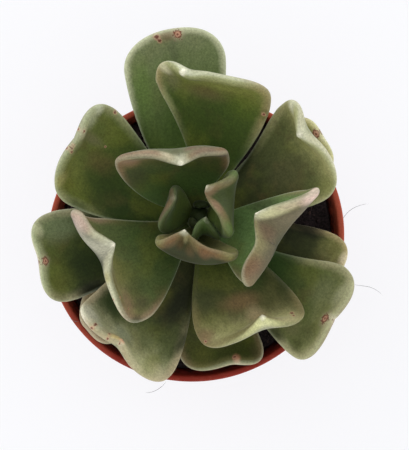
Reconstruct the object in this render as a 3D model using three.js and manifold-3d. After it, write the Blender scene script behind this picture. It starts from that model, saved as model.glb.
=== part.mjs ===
// An echeveria rosette in a thin plastic nursery pot, seen best from above.
// The plant is a short stem with thick, fan-shaped leaves that narrow to the stem and curl up at the far end,
// so that each leaf's point turns back towards the heart. The pot is filled with peat to just under its rim.
import * as THREE from "three";
import { mergeVertices } from "three/addons/utils/BufferGeometryUtils.js";
import Module from "manifold-3d";

const wasm = await Module();
wasm.setup();

// Driving dimensions, in millimetres and degrees.
const GAP = 0.3; // kept between pieces that touch
const POT = {
  height: 90,
  rimRadius: 52.5,
  rimWidth: 2.2,
  footRadius: 37,
  wall: 1.4,
  floor: 2,
  segments: 48,
};
const COLLAR = { height: 13, step: 1.6 }; // the thickened band under the rim
const OVAL = { azimuth: 19, share: 0.022 };
const DRAIN = { count: 8, radius: 3, ring: 24, lift: 2.4 };
const SOIL = { belowRim: 7, mound: 0.8 };
const PLANT = { x: 1.5, y: 7.6 }; // the stem's axis, which isn't the pot's
const STEM = { radius: 6.5, topRadius: 3.2, height: 26, buried: 26, tipRadius: 2 };

const soilTop = POT.height - SOIL.belowRim;

// A leaf's values, in millimetres and degrees; left and right are as seen from the stem along the leaf.
//  azimuth: direction of the leaf's axis. rise: height of its root over the soil.
//  slope, tipSlope: how steeply the midrib rises at the root and at the tip.
//  reach: length to the fold, front: length beyond it. left, right: half widths at the fold.
//  cornerLeft, cornerRight: how far the front's corners are drawn out. skew: how much further out the left
//  side stands. sweep: how much further out both sides stand than the midrib.
//  taperLeft, taperRight: 1 for straight sides, more for hollow ones, less for full ones.
//  curl, curlLeft, curlRight: how far the front turns up beyond the fold, at the axis and at the corners.
//  cup: how high the sides stand up. point: where the leaf's tip stands off the axis, pointOut: how far it
//  stands out, pointCurl: how much more it turns up. roll: turn about the axis. thick: share of the usual
//  thickness. root: half width of the root.
const PLAIN_LEAF = {
  cornerLeft: 0.05, cornerRight: 0.05, skew: 0, taperLeft: 1, taperRight: 1,
  curlLeft: 15, curlRight: 15, cup: 3, point: 0, pointOut: 0, pointCurl: 10, roll: 0,
  thick: 1, sweep: 0, root: 3.3,
};
const LEAVES = {
  leaf_outer_1: {
    azimuth: -21.5, rise: 3.6, slope: 7, tipSlope: 4, reach: 40.8, front: 12, left: 12, right: 12.8,
    curl: 30, cup: 2,
  },
  leaf_outer_2: {
    azimuth: 32.5, rise: 5.1, slope: 8, tipSlope: 7, reach: 39.5, front: 12, left: 12, right: 12,
    cornerRight: 0, curl: 30, cup: 2,
  },
  leaf_outer_3: {
    azimuth: 98, rise: 5.4, slope: 10, tipSlope: 4, reach: 52.4, front: 14, left: 19.6, right: 17,
    cornerLeft: -0.07, cornerRight: 0.02, taperLeft: 0.8, curl: 30, curlRight: 10, pointOut: 0.01,
    pointCurl: 0,
  },
  leaf_outer_4: {
    azimuth: 194, rise: 7.1, slope: 7, tipSlope: 4, reach: 45.2, front: 14, left: 17.4, right: 14.6,
    cornerLeft: 0.1, curl: 50, curlLeft: 20, curlRight: 20,
  },
  leaf_outer_5: {
    azimuth: 223.5, rise: 3.4, slope: 2.5, tipSlope: 3, reach: 44, front: 12, left: 12, right: 9,
    cornerRight: -0.15, curl: 40, cup: 2,
  },
  leaf_outer_6: {
    azimuth: -79, rise: 3.7, slope: 5, tipSlope: 2, reach: 39.2, front: 14, left: 12, right: 17,
    cornerLeft: 0.26, curl: 50, curlLeft: 40, curlRight: 20, cup: 2, point: 3,
  },
  leaf_middle_1: {
    azimuth: -38, rise: 7.8, slope: 12, tipSlope: 6, reach: 48.4, front: 13, left: 17.7, right: 18.3,
    cornerLeft: 0.01, cornerRight: 0.1, taperLeft: 2.3, skew: -0.06, curl: 70, curlLeft: 55,
    curlRight: 45, point: 1, pointOut: -1,
  },
  leaf_middle_2: {
    azimuth: 37, rise: 9.2, slope: 16, tipSlope: 8, reach: 41, front: 12, left: 14, right: 22,
    cornerLeft: 0.12, cornerRight: -0.08, taperLeft: 2.1, taperRight: 0.85, skew: 0.1, curl: 95,
    curlLeft: 70, curlRight: 58, point: 1, pointOut: 2, pointCurl: 45,
  },
  leaf_middle_3: {
    azimuth: 85, rise: 11.9, slope: 20, tipSlope: 10, reach: 41, front: 12, left: 19.6, right: 20.4,
    cornerLeft: 0.06, cornerRight: 0.18, taperLeft: 2.4, taperRight: 1.05, skew: 0.2, curl: 76,
    curlLeft: 35, curlRight: 45, point: 9, pointOut: 2, pointCurl: 32,
  },
  leaf_middle_4: {
    azimuth: 150, rise: 9.8, slope: 14, tipSlope: 6, reach: 42.2, front: 12, left: 19.5, right: 18,
    cornerLeft: -0.1, cornerRight: 0.05, taperLeft: 0.7, taperRight: 1.4, curl: 75, curlLeft: 45,
    curlRight: 50, point: -2.5, pointOut: -1, pointCurl: 15,
  },
  leaf_middle_5: {
    azimuth: 232, rise: 10.2, slope: 12, tipSlope: 6, reach: 44.2, front: 12, left: 26.3, right: 12.8,
    cornerRight: 0.2, skew: 0.115, sweep: -0.055, curl: 75, curlLeft: 30, curlRight: 80, point: 5,
    pointOut: 1, pointCurl: 35,
  },
  leaf_upper_1: {
    azimuth: -66, rise: 13.2, slope: 18, tipSlope: 12, reach: 36.6, front: 12, left: 20, right: 17.6,
    cornerLeft: 0.06, cornerRight: 0.08, skew: 0.17, curl: 86, curlLeft: 90, curlRight: 40, point: 5,
    pointOut: 2, pointCurl: 38,
  },
  leaf_upper_2: {
    azimuth: 207, rise: 15, slope: 28, tipSlope: 20, reach: 32, front: 13, left: 23, right: 17.4,
    cornerLeft: 0.08, cornerRight: 0.6, taperRight: 2.2, skew: -0.1, sweep: 0.1, curl: 82, curlLeft: 40,
    curlRight: 88, point: -4, pointOut: 2, pointCurl: 42,
  },
  leaf_upper_3: {
    azimuth: -20, rise: 15.8, slope: 42, tipSlope: 36, reach: 28, front: 15, left: 19.7, right: 15.8,
    cornerLeft: 0.3, cornerRight: 0.2, taperLeft: 1.35, taperRight: 1.1, skew: 0.27, sweep: 0.13,
    curl: 125, curlLeft: 78, curlRight: 117, point: 7, pointOut: 4, pointCurl: 55,
  },
  leaf_upper_4: {
    azimuth: 110, rise: 15.7, slope: 44, tipSlope: 40, reach: 25, front: 13, left: 21.2, right: 16.4,
    cornerLeft: 0.04, cornerRight: 0.1, taperLeft: 0.62, skew: 0.33, curl: 72, curlLeft: 72,
    curlRight: 100, pointOut: 0.5, pointCurl: 44,
  },
  leaf_heart_1: {
    azimuth: -7, rise: 20.3, slope: 67, tipSlope: 68, reach: 15, front: 12, left: 17.2, right: 6,
    cornerLeft: 0.1, cornerRight: 0.1, taperRight: 3, skew: 0, curl: 40, curlLeft: 14, curlRight: 1,
    cup: 0, point: 8.2, pointOut: 3.5, pointCurl: 80, thick: 1.4, root: 2.2,
  },
  leaf_heart_2: {
    azimuth: 165, rise: 18, slope: 61, tipSlope: 63, reach: 15, front: 9, left: 8.6, right: 8.5, skew: 0,
    curl: 15, curlLeft: 5, curlRight: 10, cup: 0, point: -3.7, pointOut: 1, pointCurl: 35, thick: 1,
    root: 2.2,
  },
  leaf_heart_3: {
    azimuth: -100, rise: 18, slope: 54, tipSlope: 64, reach: 20, front: 13, left: 15, right: 13.5,
    curl: 85, curlLeft: 60, curlRight: 60, cup: 5, point: -4, pointOut: 2, pointCurl: 45,
  },
  leaf_heart_4: {
    azimuth: -82, rise: 22, slope: 79, tipSlope: 79, reach: 11, front: 8, left: 5.9, right: 4.2, skew: 0,
    curl: 30, curlLeft: 5, curlRight: 1, cup: -4, point: 1.7, pointOut: 2, pointCurl: 45, thick: 1,
    root: 1.3,
  },
  leaf_heart_5: {
    azimuth: 90, rise: 17.4, slope: 74, tipSlope: 76, reach: 8, front: 5, left: 2.3, right: 3.4, curl: 30,
    curlLeft: 10, curlRight: 10, cup: 1, pointOut: 1, pointCurl: 20, thick: 0.75, root: 1.4,
  },
};

// The youngest leaf, which is still one with the stem's crown.
const BUD = {
  azimuth: 222, rise: 23, slope: 80, tipSlope: 88, reach: 6, front: 3, left: 2, right: 2, curl: 50, cup: 1,
  root: 2,
};
const BLADE = {
  thickness: 4.1,
  edgeThickness: 3.1,
  grownReach: 35, // a leaf shorter than this is thinner
  rounding: 2.4, // how far in from the margin the edge is rounded
  upperShare: 0.42, // of the thickness that lies above the middle surface
  boxiness: 2.6, // of the front's superellipse
  pointSpread: 9, // degrees
  pointWidth: 6, // of the zone that curls with the point
  start: 2.5, // distance of the leaf's root from the stem's axis
};
const GRID = { base: 3, side: 5, front: 7, inner: 3, edge: 2 };

const radians = THREE.MathUtils.degToRad;
const degrees = THREE.MathUtils.radToDeg;
const ease = (t) => t * t * (3 - 2 * t);
const mix = (a, b, t) => a + (b - a) * t;

// Turns a geometry into a manifold-3d solid: only positions, with shared corners merged.
function solidOf(geometry) {
  const bare = new THREE.BufferGeometry();
  bare.setAttribute("position", geometry.getAttribute("position"));
  if (geometry.index) bare.setIndex(geometry.index);
  const merged = mergeVertices(bare, 1e-4);
  const corners = merged.index.array;
  const triVerts = [];
  for (let i = 0; i < corners.length; i += 3) {
    const [a, b, c] = [corners[i], corners[i + 1], corners[i + 2]];
    if (a !== b && b !== c && c !== a) triVerts.push(a, b, c);
  }
  return new wasm.Manifold(
    new wasm.Mesh({
      numProp: 3,
      vertProperties: merged.getAttribute("position").array,
      triVerts: new Uint32Array(triVerts),
    }),
  );
}

function geometryOf(solid) {
  const mesh = solid.getMesh();
  const geometry = new THREE.BufferGeometry();
  geometry.setAttribute("position", new THREE.BufferAttribute(mesh.vertProperties, 3));
  geometry.setIndex(new THREE.BufferAttribute(mesh.triVerts, 1));
  return geometry;
}

// A body of revolution about the Z axis, from [radius, height] pairs.
function turned(profile, segments) {
  const points = profile.map(([r, z]) => new THREE.Vector2(r, z));
  return new THREE.LatheGeometry(points, segments).rotateX(Math.PI / 2);
}

// The outline of a flat leaf as a loop of stations. Each station is a section from the midline out to the
// margin: it leaves the midline at "from", in the direction "angle" (0 is the leaf's axis, positive is left),
// and is "length" long to the margin.
function outline(leaf, grow = 0) {
  const stations = [];
  const { root } = leaf;
  const half = (sign) => (sign > 0 ? leaf.left : leaf.right);
  const add = (from, angle, length) => stations.push({ from, angle, length: length + grow });
  const side = (sign, t) => {
    const taper = sign > 0 ? leaf.taperLeft : leaf.taperRight;
    const share = t ** taper * (1.25 - 0.25 * t ** 2);
    add(mix(root, leaf.reach, t), sign * 90, mix(root, half(sign), share));
  };
  const wide = Math.abs(leaf.point / half(leaf.point)) ** BLADE.boxiness;
  const pointAngle = degrees(Math.atan2(leaf.point, leaf.front * (1 - wide) ** (1 / BLADE.boxiness)));
  const front = (angle) => {
    const sign = angle >= 0 ? 1 : -1;
    const c = Math.abs(Math.cos(radians(angle))) / leaf.front;
    const s = Math.abs(Math.sin(radians(angle))) / half(sign);
    const round = (c ** BLADE.boxiness + s ** BLADE.boxiness) ** (-1 / BLADE.boxiness);
    const corner = sign > 0 ? leaf.cornerLeft : leaf.cornerRight;
    const drawn = 1 + corner * Math.sin(2 * Math.atan2(s, c)) ** 2;
    const off = Math.abs(angle - pointAngle) / BLADE.pointSpread;
    add(leaf.reach, angle, round * drawn + leaf.pointOut * Math.exp(-off));
  };
  const crowd = (t) => (t + Math.sin((t * Math.PI) / 2)) / 2;
  for (let i = 0; i <= GRID.base; i++) add(root, mix(180, 90, i / GRID.base), root);
  for (let i = 1; i < GRID.side; i++) side(1, i / GRID.side);
  for (let i = 0; i <= GRID.front; i++) front(mix(90, pointAngle, crowd(i / GRID.front)));
  for (let i = GRID.front - 1; i >= 0; i--) front(mix(-90, pointAngle, crowd(i / GRID.front)));
  for (let i = GRID.side - 1; i > 0; i--) side(-1, i / GRID.side);
  for (let i = 0; i < GRID.base; i++) add(root, mix(-90, -180, i / GRID.base), root);
  return stations;
}

// The leaf's middle surface: a is the distance along the flat leaf, b the distance to the left of its axis.
// Beyond the fold the front turns up on an arc; the midrib itself is an arc from one slope to another.
function middle(leaf, a, b) {
  const side = Math.min(1.2, Math.abs(b) / (b > 0 ? leaf.left : leaf.right));
  const corner = b > 0 ? leaf.curlLeft : leaf.curlRight;
  const off = (b - leaf.point) / BLADE.pointWidth;
  const curl = mix(leaf.curl, corner, side ** 2) + leaf.pointCurl * Math.exp(-off * off);
  const bend = leaf.front / radians(curl);
  const turn = Math.max(0, a - leaf.reach) / bend;
  const spread = ease(Math.min(1, Math.max(0, a / leaf.reach)));
  const up = bend * (1 - Math.cos(turn)) + leaf.cup * side ** 2 * spread;
  const swept = leaf.skew * b + leaf.sweep * Math.abs(b);
  const along = Math.min(a, leaf.reach) + bend * Math.sin(turn) + swept * spread;
  const roll = radians(leaf.roll);
  const across = b * Math.cos(roll) - up * Math.sin(roll);
  const above = b * Math.sin(roll) + up * Math.cos(roll);
  const total = leaf.reach + leaf.front;
  const [start, end] = [radians(leaf.slope), radians(leaf.tipSlope) + 1e-4];
  const slope = mix(start, end, along / total);
  const arc = total / (end - start);
  const x = BLADE.start + arc * (Math.sin(slope) - Math.sin(start)) - above * Math.sin(slope);
  const z = leaf.rise + arc * (Math.cos(start) - Math.cos(slope)) + above * Math.cos(slope);
  const azimuth = radians(leaf.azimuth);
  return new THREE.Vector3(
    PLANT.x + x * Math.cos(azimuth) - across * Math.sin(azimuth),
    PLANT.y + x * Math.sin(azimuth) + across * Math.cos(azimuth),
    soilTop + z,
  );
}

// A point of the leaf, lifted off the middle surface along its normal.
function place(leaf, a, b, lift) {
  const step = 0.05;
  const point = middle(leaf, a, b);
  const alongEdge = middle(leaf, a + step, b).sub(middle(leaf, a - step, b));
  const acrossEdge = middle(leaf, a, b + step).sub(middle(leaf, a, b - step));
  return point.addScaledVector(alongEdge.cross(acrossEdge).normalize(), lift);
}

// A leaf's closed skin: rings from the midline to the margin on the upper face, and back on the lower face.
function leafGeometry(leaf, grow = 0) {
  const stations = outline(leaf, grow);
  const young = leaf.thick * mix(0.55, 1, Math.min(1, leaf.reach / BLADE.grownReach));
  const rounding = BLADE.rounding * young;
  const rows = [];
  const row = (share, edge, upper) => ({ share, edge, upper });
  for (let i = 0; i < GRID.inner; i++) rows.push(row(i / GRID.inner, 0, true));
  for (let i = 0; i <= GRID.edge; i++) rows.push(row(1, i / GRID.edge, true));
  for (let i = GRID.edge - 1; i >= 0; i--) rows.push(row(1, i / GRID.edge, false));
  for (let i = GRID.inner - 1; i >= 0; i--) rows.push(row(i / GRID.inner, 0, false));
  const positions = [];
  for (const { share, edge, upper } of rows)
    for (const station of stations) {
      const soft = Math.min(rounding, 0.7 * station.length);
      const d = (station.length - soft) * share + soft * Math.sin((edge * Math.PI) / 2);
      const full = young * mix(BLADE.thickness, BLADE.edgeThickness, (d / station.length) ** 2) + 2 * grow;
      const thick = full * Math.cos((edge * Math.PI) / 2);
      const lift = upper ? thick * BLADE.upperShare : -thick * (1 - BLADE.upperShare);
      const [a, b] = [station.from + d * Math.cos(radians(station.angle)), d * Math.sin(radians(station.angle))];
      positions.push(...place(leaf, a, b, edge === 1 ? 0 : lift));
    }
  const n = stations.length;
  // The squares of both faces are split along the same diagonal, so that the faces can't cross.
  const index = [];
  for (let r = 0; r + 1 < rows.length; r++)
    for (let i = 0; i < n; i++) {
      const [a, b] = [r * n + i, r * n + ((i + 1) % n)];
      if (rows[r + 1].upper) index.push(a, b, a + n, b, b + n, a + n);
      else index.push(a, b, b + n, a, b + n, a + n);
    }
  const geometry = new THREE.BufferGeometry();
  geometry.setAttribute("position", new THREE.Float32BufferAttribute(positions, 3));
  geometry.setIndex(index);
  return geometry;
}

const leaves = Object.entries(LEAVES).map(([name, own]) => ({ name, ...PLAIN_LEAF, ...own }));

// The thin pot is a little oval: drawn out along one direction and in across it, more so towards the rim.
function oval(geometry) {
  const position = geometry.getAttribute("position");
  const direction = radians(OVAL.azimuth);
  const [c, s] = [Math.cos(direction), Math.sin(direction)];
  for (let i = 0; i < position.count; i++) {
    const [x, y, z] = [position.getX(i), position.getY(i), position.getZ(i)];
    const share = OVAL.share * ease(Math.min(1, Math.max(0, z / POT.height)));
    const along = (x * c + y * s) * (1 + share);
    const across = (y * c - x * s) * (1 - share);
    position.setXY(i, along * c - across * s, along * s + across * c);
  }
  return geometry;
}

// The pot's outer wall, at a height.
const wallRadius = (z) => mix(POT.footRadius, POT.rimRadius - COLLAR.step, z / POT.height);

function potGeometry() {
  const { height, rimRadius, rimWidth, footRadius, wall, floor, segments } = POT;
  const collarFoot = height - COLLAR.height;
  const profile = [
    [0, 0],
    [DRAIN.ring - 9, 0],
    [DRAIN.ring - 7, DRAIN.lift],
    [DRAIN.ring + 7, DRAIN.lift],
    [DRAIN.ring + 9, 0],
    [footRadius - 0.8, 0],
    [footRadius, 0.8],
    [wallRadius(collarFoot), collarFoot],
    [rimRadius - 0.5, collarFoot + 0.6],
    [rimRadius, height - 0.8],
    [rimRadius - 0.3, height - 0.2],
    [rimRadius - 0.9, height],
    [rimRadius - rimWidth + 0.5, height],
    [rimRadius - rimWidth, height - 0.5],
    [wallRadius(collarFoot) - wall, collarFoot - 1],
    [wallRadius(DRAIN.lift + floor) - wall, DRAIN.lift + floor],
    [0, DRAIN.lift + floor],
  ];
  let pot = solidOf(turned(profile, segments));
  for (let i = 0; i < DRAIN.count; i++) {
    const hole = new THREE.CylinderGeometry(DRAIN.radius, DRAIN.radius, 20, 16).rotateX(Math.PI / 2);
    const angle = (2 * Math.PI * i) / DRAIN.count;
    hole.translate(DRAIN.ring * Math.cos(angle), DRAIN.ring * Math.sin(angle), 0);
    pot = pot.subtract(solidOf(hole));
  }
  return oval(geometryOf(pot));
}

// How far the soil's surface stands over its even height, at a place: low heaps, and a mound round the stem.
function soilRelief(x, y) {
  const heaps = 0.7 * Math.sin(0.21 * x + 1.1) * Math.cos(0.17 * y - 0.4) + 0.35 * Math.sin(0.53 * x - 0.31 * y);
  const fromStem = Math.hypot(x - PLANT.x, y - PLANT.y);
  return heaps + SOIL.mound * Math.exp(-((fromStem / 14) ** 2));
}

function soilGeometry() {
  const bottom = DRAIN.lift + POT.floor + GAP;
  const radiusAt = (z) => wallRadius(z) - POT.wall - GAP;
  const rings = 7;
  const profile = [[0, bottom], [radiusAt(bottom), bottom], [radiusAt(soilTop), soilTop]];
  for (let i = rings - 1; i >= 0; i--) profile.push([(radiusAt(soilTop) * i) / rings, soilTop]);
  const geometry = turned(profile, POT.segments);
  const position = geometry.getAttribute("position");
  for (let i = 0; i < position.count; i++) {
    const [x, y, z] = [position.getX(i), position.getY(i), position.getZ(i)];
    const inner = 1 - ease(Math.min(1, Math.hypot(x, y) / radiusAt(soilTop)));
    if (z > soilTop - 0.1) position.setZ(i, soilTop + inner ** 0.3 * soilRelief(x, y));
  }
  const hole = stemGeometry(GAP);
  return geometryOf(solidOf(oval(geometry)).subtract(solidOf(hole)));
}

// The stem: a tap root in the soil, a short stock that the leaves grow from, and a blunt crown.
function stemGeometry(grow = 0) {
  const { radius, topRadius, height, buried, tipRadius } = STEM;
  const profile = [
    [0, -buried - grow],
    [tipRadius + grow, -buried - grow],
    [radius + grow, -3],
    [radius + grow, 0.3 * height],
    [mix(radius, topRadius, 0.3) + grow, 0.65 * height],
    [topRadius + grow, 0.92 * height],
    [0.5 * topRadius + grow, height + grow],
    [0, height + grow],
  ];
  return turned(profile, 20).translate(PLANT.x, PLANT.y, soilTop);
}

// The stem with its bud, and the same grown by the gap, which is the room that the leaves leave it.
function crownedStem(grow = 0) {
  const bud = leafGeometry({ ...PLAIN_LEAF, ...BUD }, grow);
  return solidOf(stemGeometry(grow)).add(solidOf(bud));
}

const part = new THREE.Group();
function add(name, geometry, color) {
  const mesh = new THREE.Mesh(geometry, new THREE.MeshStandardMaterial({ color, roughness: 0.8 }));
  mesh.name = name;
  part.add(mesh);
}

const stemRoom = crownedStem(GAP);
add("pot", potGeometry(), 0x96412f);
add("soil", soilGeometry(), 0x241c1e);
add("stem", geometryOf(crownedStem()), 0x8a8a5c);
for (const leaf of leaves) add(leaf.name, geometryOf(solidOf(leafGeometry(leaf)).subtract(stemRoom)), 0x5d7049);
export default part;
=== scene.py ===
import bmesh
import bpy
import numpy as np
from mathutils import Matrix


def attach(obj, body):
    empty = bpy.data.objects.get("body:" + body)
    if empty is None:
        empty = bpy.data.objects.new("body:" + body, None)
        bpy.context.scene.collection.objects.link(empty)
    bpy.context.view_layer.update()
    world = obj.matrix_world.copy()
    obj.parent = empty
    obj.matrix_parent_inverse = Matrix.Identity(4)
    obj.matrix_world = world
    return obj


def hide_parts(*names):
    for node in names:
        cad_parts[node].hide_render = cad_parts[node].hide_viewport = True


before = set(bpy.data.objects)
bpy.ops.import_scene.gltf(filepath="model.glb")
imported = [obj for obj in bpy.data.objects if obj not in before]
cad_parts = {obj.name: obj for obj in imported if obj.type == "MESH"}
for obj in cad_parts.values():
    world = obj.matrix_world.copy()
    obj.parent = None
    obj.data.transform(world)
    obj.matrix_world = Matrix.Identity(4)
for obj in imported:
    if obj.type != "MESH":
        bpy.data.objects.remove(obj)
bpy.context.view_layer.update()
METRE = 0.001  # in one millimetre

# The camera.
# The photo was taken from straight above with a long lens. It is 409 by 450 pixels, and one pixel covers
# 0.3596 mm at the height of the pot's rim.
PHOTO = {"high": 450, "pixel": 0.3596}
CAMERA = {"x": 3.06, "y": 4.85, "above_rim": 700, "rim": 90, "sensor": 36}


def placed(name, data, place=(0, 0, 0)):
    """A new object in the scene, at a place in millimetres."""
    made = bpy.data.objects.new(name, data)
    made.location = np.array(place) * METRE
    bpy.context.scene.collection.objects.link(made)
    return made


camera_data = bpy.data.cameras.new("camera")
camera_data.sensor_width = CAMERA["sensor"]
camera_data.lens = CAMERA["sensor"] * CAMERA["above_rim"] / (PHOTO["high"] * PHOTO["pixel"])
camera_place = (CAMERA["x"], CAMERA["y"], CAMERA["rim"] + CAMERA["above_rim"])
bpy.context.scene.camera = placed("camera", camera_data, camera_place)
bpy.context.scene.view_settings.view_transform = "Standard"

# The floor and the light.
# A plain white floor. The light is soft and comes from all round, most of it from the sides and little from
# straight above, where the camera hangs: flat tops stay dark and every edge that turns away is pale.
FLOOR = {"size": 6000, "albedo": (0.26, 0.26, 0.27), "glow": 0.71}
SKY = {"horizon": 2.0, "zenith": 0.7, "dark_from": 0.3, "dark_to": 0.78}
KEY_LIGHT = {"place": (-900, 900, 1100), "size": 900, "power": 2.5}


class Wire:
    """An output socket of a material. An expression on wires adds its Math nodes."""

    def __init__(self, paint, socket):
        self.paint = paint
        self.socket = socket

    def math(self, operation, *values):
        return self.paint.node("ShaderNodeMath", {"operation": operation}, dict(enumerate(values)))

    def __add__(self, other):
        return self.math("ADD", self, other)

    __radd__ = __add__

    def __sub__(self, other):
        return self.math("SUBTRACT", self, other)

    def __rsub__(self, other):
        return self.math("SUBTRACT", other, self)

    def __mul__(self, other):
        return self.math("MULTIPLY", self, other)

    __rmul__ = __mul__

    def __truediv__(self, other):
        return self.math("DIVIDE", self, other)

    def __rtruediv__(self, other):
        return self.math("DIVIDE", other, self)

    def __pow__(self, other):
        return self.math("POWER", self, other)

    def __rpow__(self, other):
        return self.math("POWER", other, self)

    def most(self, other):
        return self.math("MAXIMUM", self, other)

    def between(self, low, high):
        """Rises smoothly from 0 at low to 1 at high, or falls where high is the smaller one."""
        swap = high < low
        if swap:
            low, high = high, low
        settings = {"interpolation_type": "SMOOTHSTEP"}
        values = {"Value": self, "From Min": low, "From Max": high}
        risen = self.paint.node("ShaderNodeMapRange", settings, values)
        return 1 - risen if swap else risen


class Paint:
    """A node tree that is being made: a material's, or the world's."""

    def __init__(self, owner):
        owner.use_nodes = True
        self.owner = owner
        self.tree = owner.node_tree

    def node(self, kind, settings=None, values=None, output=0):
        """Adds a node of any type: its settings first, then its sockets' values or links."""
        made = self.tree.nodes.new(kind)
        for key, value in (settings or {}).items():
            setattr(made, key, value)
        self.feed(made, values or {})
        return Wire(self, made.outputs[output])

    def feed(self, made, values):
        """Sets a node's sockets to values, or links wires to them."""
        for key, value in values.items():
            socket = made.inputs[key]
            if isinstance(value, Wire):
                self.tree.links.new(value.socket, socket)
            elif isinstance(value, tuple) and len(value) == 3 and socket.type == "RGBA":
                socket.default_value = (*value, 1)
            else:
                socket.default_value = value

    def shader(self, values):
        """Sets the sockets of the material's Principled shader."""
        self.feed(self.tree.nodes["Principled BSDF"], values)

    def mix(self, factor, first, second):
        """The first colour, going over to the second as the factor goes from 0 to 1."""
        settings = {"data_type": "RGBA", "clamp_factor": True}
        return self.node("ShaderNodeMix", settings, {0: factor, 6: first, 7: second}, output=2)

    def attribute(self, name):
        """A named number of the mesh, given for each of its points."""
        return self.node("ShaderNodeAttribute", {"attribute_name": name}, output=2)

    def noise(self, vector, scale, detail=2.0, rough=0.5, shift=0.0):
        """A noise with features of about 1 / scale. A shift gives another part of it."""
        moved = self.node("ShaderNodeVectorMath", {"operation": "ADD"}, {0: vector, 1: (shift, 2 * shift, 0)})
        values = {"Vector": moved, "Scale": scale, "Detail": detail, "Roughness": rough}
        return self.node("ShaderNodeTexNoise", {}, values)

    def millimetres(self):
        """The place on the object, in millimetres."""
        place = self.node("ShaderNodeTexCoord", output=3)
        return self.node("ShaderNodeVectorMath", {"operation": "SCALE"}, {0: place, "Scale": 1 / METRE})

    def parts(self, vector):
        """The three parts of a vector."""
        split = self.node("ShaderNodeSeparateXYZ", {}, {0: vector}).socket.node
        return [Wire(self, output) for output in split.outputs]

    def bump(self, height, distance, strength=1.0):
        """A normal for a height that goes from 0 to 1 over a distance in millimetres."""
        values = {"Height": height, "Distance": distance * METRE, "Strength": strength}
        return self.node("ShaderNodeBump", {}, values)


def new_paint(name):
    return Paint(bpy.data.materials.new(name))


def srgb(red, green, blue):
    """A colour as a picture gives it, from 0 to 255, made linear: the standard curve of screen colours."""
    share = np.array([red, green, blue]) / 255
    linear = np.where(share <= 0.04045, share / 12.92, ((share + 0.055) / 1.055) ** 2.4)
    return tuple(float(c) for c in linear)


floor_paint = new_paint("floor_white")
floor_paint.shader(
    {
        "Base Color": FLOOR["albedo"],
        "Roughness": 0.9,
        "Specular IOR Level": 0.1,
        "Emission Color": (0.97, 0.98, 1.0),
        "Emission Strength": FLOOR["glow"],
    }
)
half = FLOOR["size"] / 2 * METRE
corners = [(-half, -half, 0), (half, -half, 0), (half, half, 0), (-half, half, 0)]
floor_mesh = bpy.data.meshes.new("floor")
floor_mesh.from_pydata(corners, [], [(0, 1, 2, 3)])
floor_mesh.materials.append(floor_paint.owner)
floor = placed("floor", floor_mesh)

world = bpy.data.worlds.new("studio")
bpy.context.scene.world = world
sky = Paint(world)
height = sky.parts(sky.node("ShaderNodeTexCoord", output=0))[2]
dark = height.between(SKY["dark_from"], SKY["dark_to"])
brightness = SKY["horizon"] + (SKY["zenith"] - SKY["horizon"]) * dark
sky.feed(sky.tree.nodes["Background"], {"Color": (1.0, 1.0, 1.0), "Strength": brightness})

key_data = bpy.data.lights.new("key_light", "AREA")
key_data.shape = "DISK"
key_data.size = KEY_LIGHT["size"] * METRE
key_data.energy = KEY_LIGHT["power"]
key_light = placed("key_light", key_data, KEY_LIGHT["place"])
key_light.rotation_euler = (-key_light.location).to_track_quat("-Z", "Y").to_euler()

# The pot.
# A thin nursery pot of terracotta-coloured polypropylene, moulded in one piece: a tapering wall, a thicker
# collar under the rim and a raised ring of drain holes in the floor. It has been pressed a little oval.
POT = {"height": 90, "rim": 52.5, "rim_width": 2.2, "foot": 37, "wall": 1.4, "floor": 2}
COLLAR = {"height": 13, "step": 1.6}
# The raised ring's half widths are its foot and its top.
DRAIN = {"count": 8, "radius": 3, "depth": 20, "ring": 24, "lift": 2.4, "foot": 9, "top": 7}
OVAL = {"azimuth": 19, "share": 0.022}
POT_SEGMENTS = 192


def ease(t):
    """0 up to t = 0, 1 from t = 1, and t * t * (3 - 2 t) between them."""
    t = np.clip(t, 0, 1)
    return t * t * (3 - 2 * t)


def mix(a, b, t):
    return a + (b - a) * t


def oval(points):
    """Points drawn out along the oval's direction and in across it, more so towards the rim."""
    direction = np.radians(OVAL["azimuth"])
    c, s = np.cos(direction), np.sin(direction)
    x, y, z = points[..., 0], points[..., 1], points[..., 2]
    share = OVAL["share"] * ease(z / POT["height"])
    along = (x * c + y * s) * (1 + share)
    across = (y * c - x * s) * (1 - share)
    return np.stack([along * c - across * s, along * s + across * c, z], axis=-1)


def rounded(profile, radius, steps=4):
    """A profile of [r, z] corners with each corner replaced by a quadratic arc between points near it."""
    corners = np.array(profile, float)
    out = [corners[:1]]
    t = np.linspace(0, 1, steps + 1)[:, None]
    for before, corner, after in zip(corners[:-2], corners[1:-1], corners[2:]):
        back, on = before - corner, after - corner
        reach = min(radius, 0.45 * np.linalg.norm(back), 0.45 * np.linalg.norm(on))
        first = corner + back / np.linalg.norm(back) * reach
        last = corner + on / np.linalg.norm(on) * reach
        out.append((1 - t) ** 2 * first + 2 * t * (1 - t) * corner + t**2 * last)
    out.append(corners[-1:])
    return np.concatenate(out)


def turned(profile, segments):
    """A body of revolution as a grid of points: row i is the profile's point i, turned about the Z axis."""
    profile = np.asarray(profile, float)
    turn = np.arange(segments) / segments * 2 * np.pi
    x = profile[:, :1] * np.cos(turn)
    y = profile[:, :1] * np.sin(turn)
    z = profile[:, 1:] + 0 * turn
    return np.stack([x, y, z], axis=-1)


def grid_faces(grid):
    """Four-sided faces between the neighbours of a grid of points, whose last column meets its first."""
    rows, columns = grid.shape[:2]
    number = np.arange(rows * columns).reshape(rows, columns)
    beside = np.roll(number, -1, axis=1)
    return np.stack([number[:-1], beside[:-1], beside[1:], number[1:]], axis=-1).reshape(-1, 4)


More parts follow.
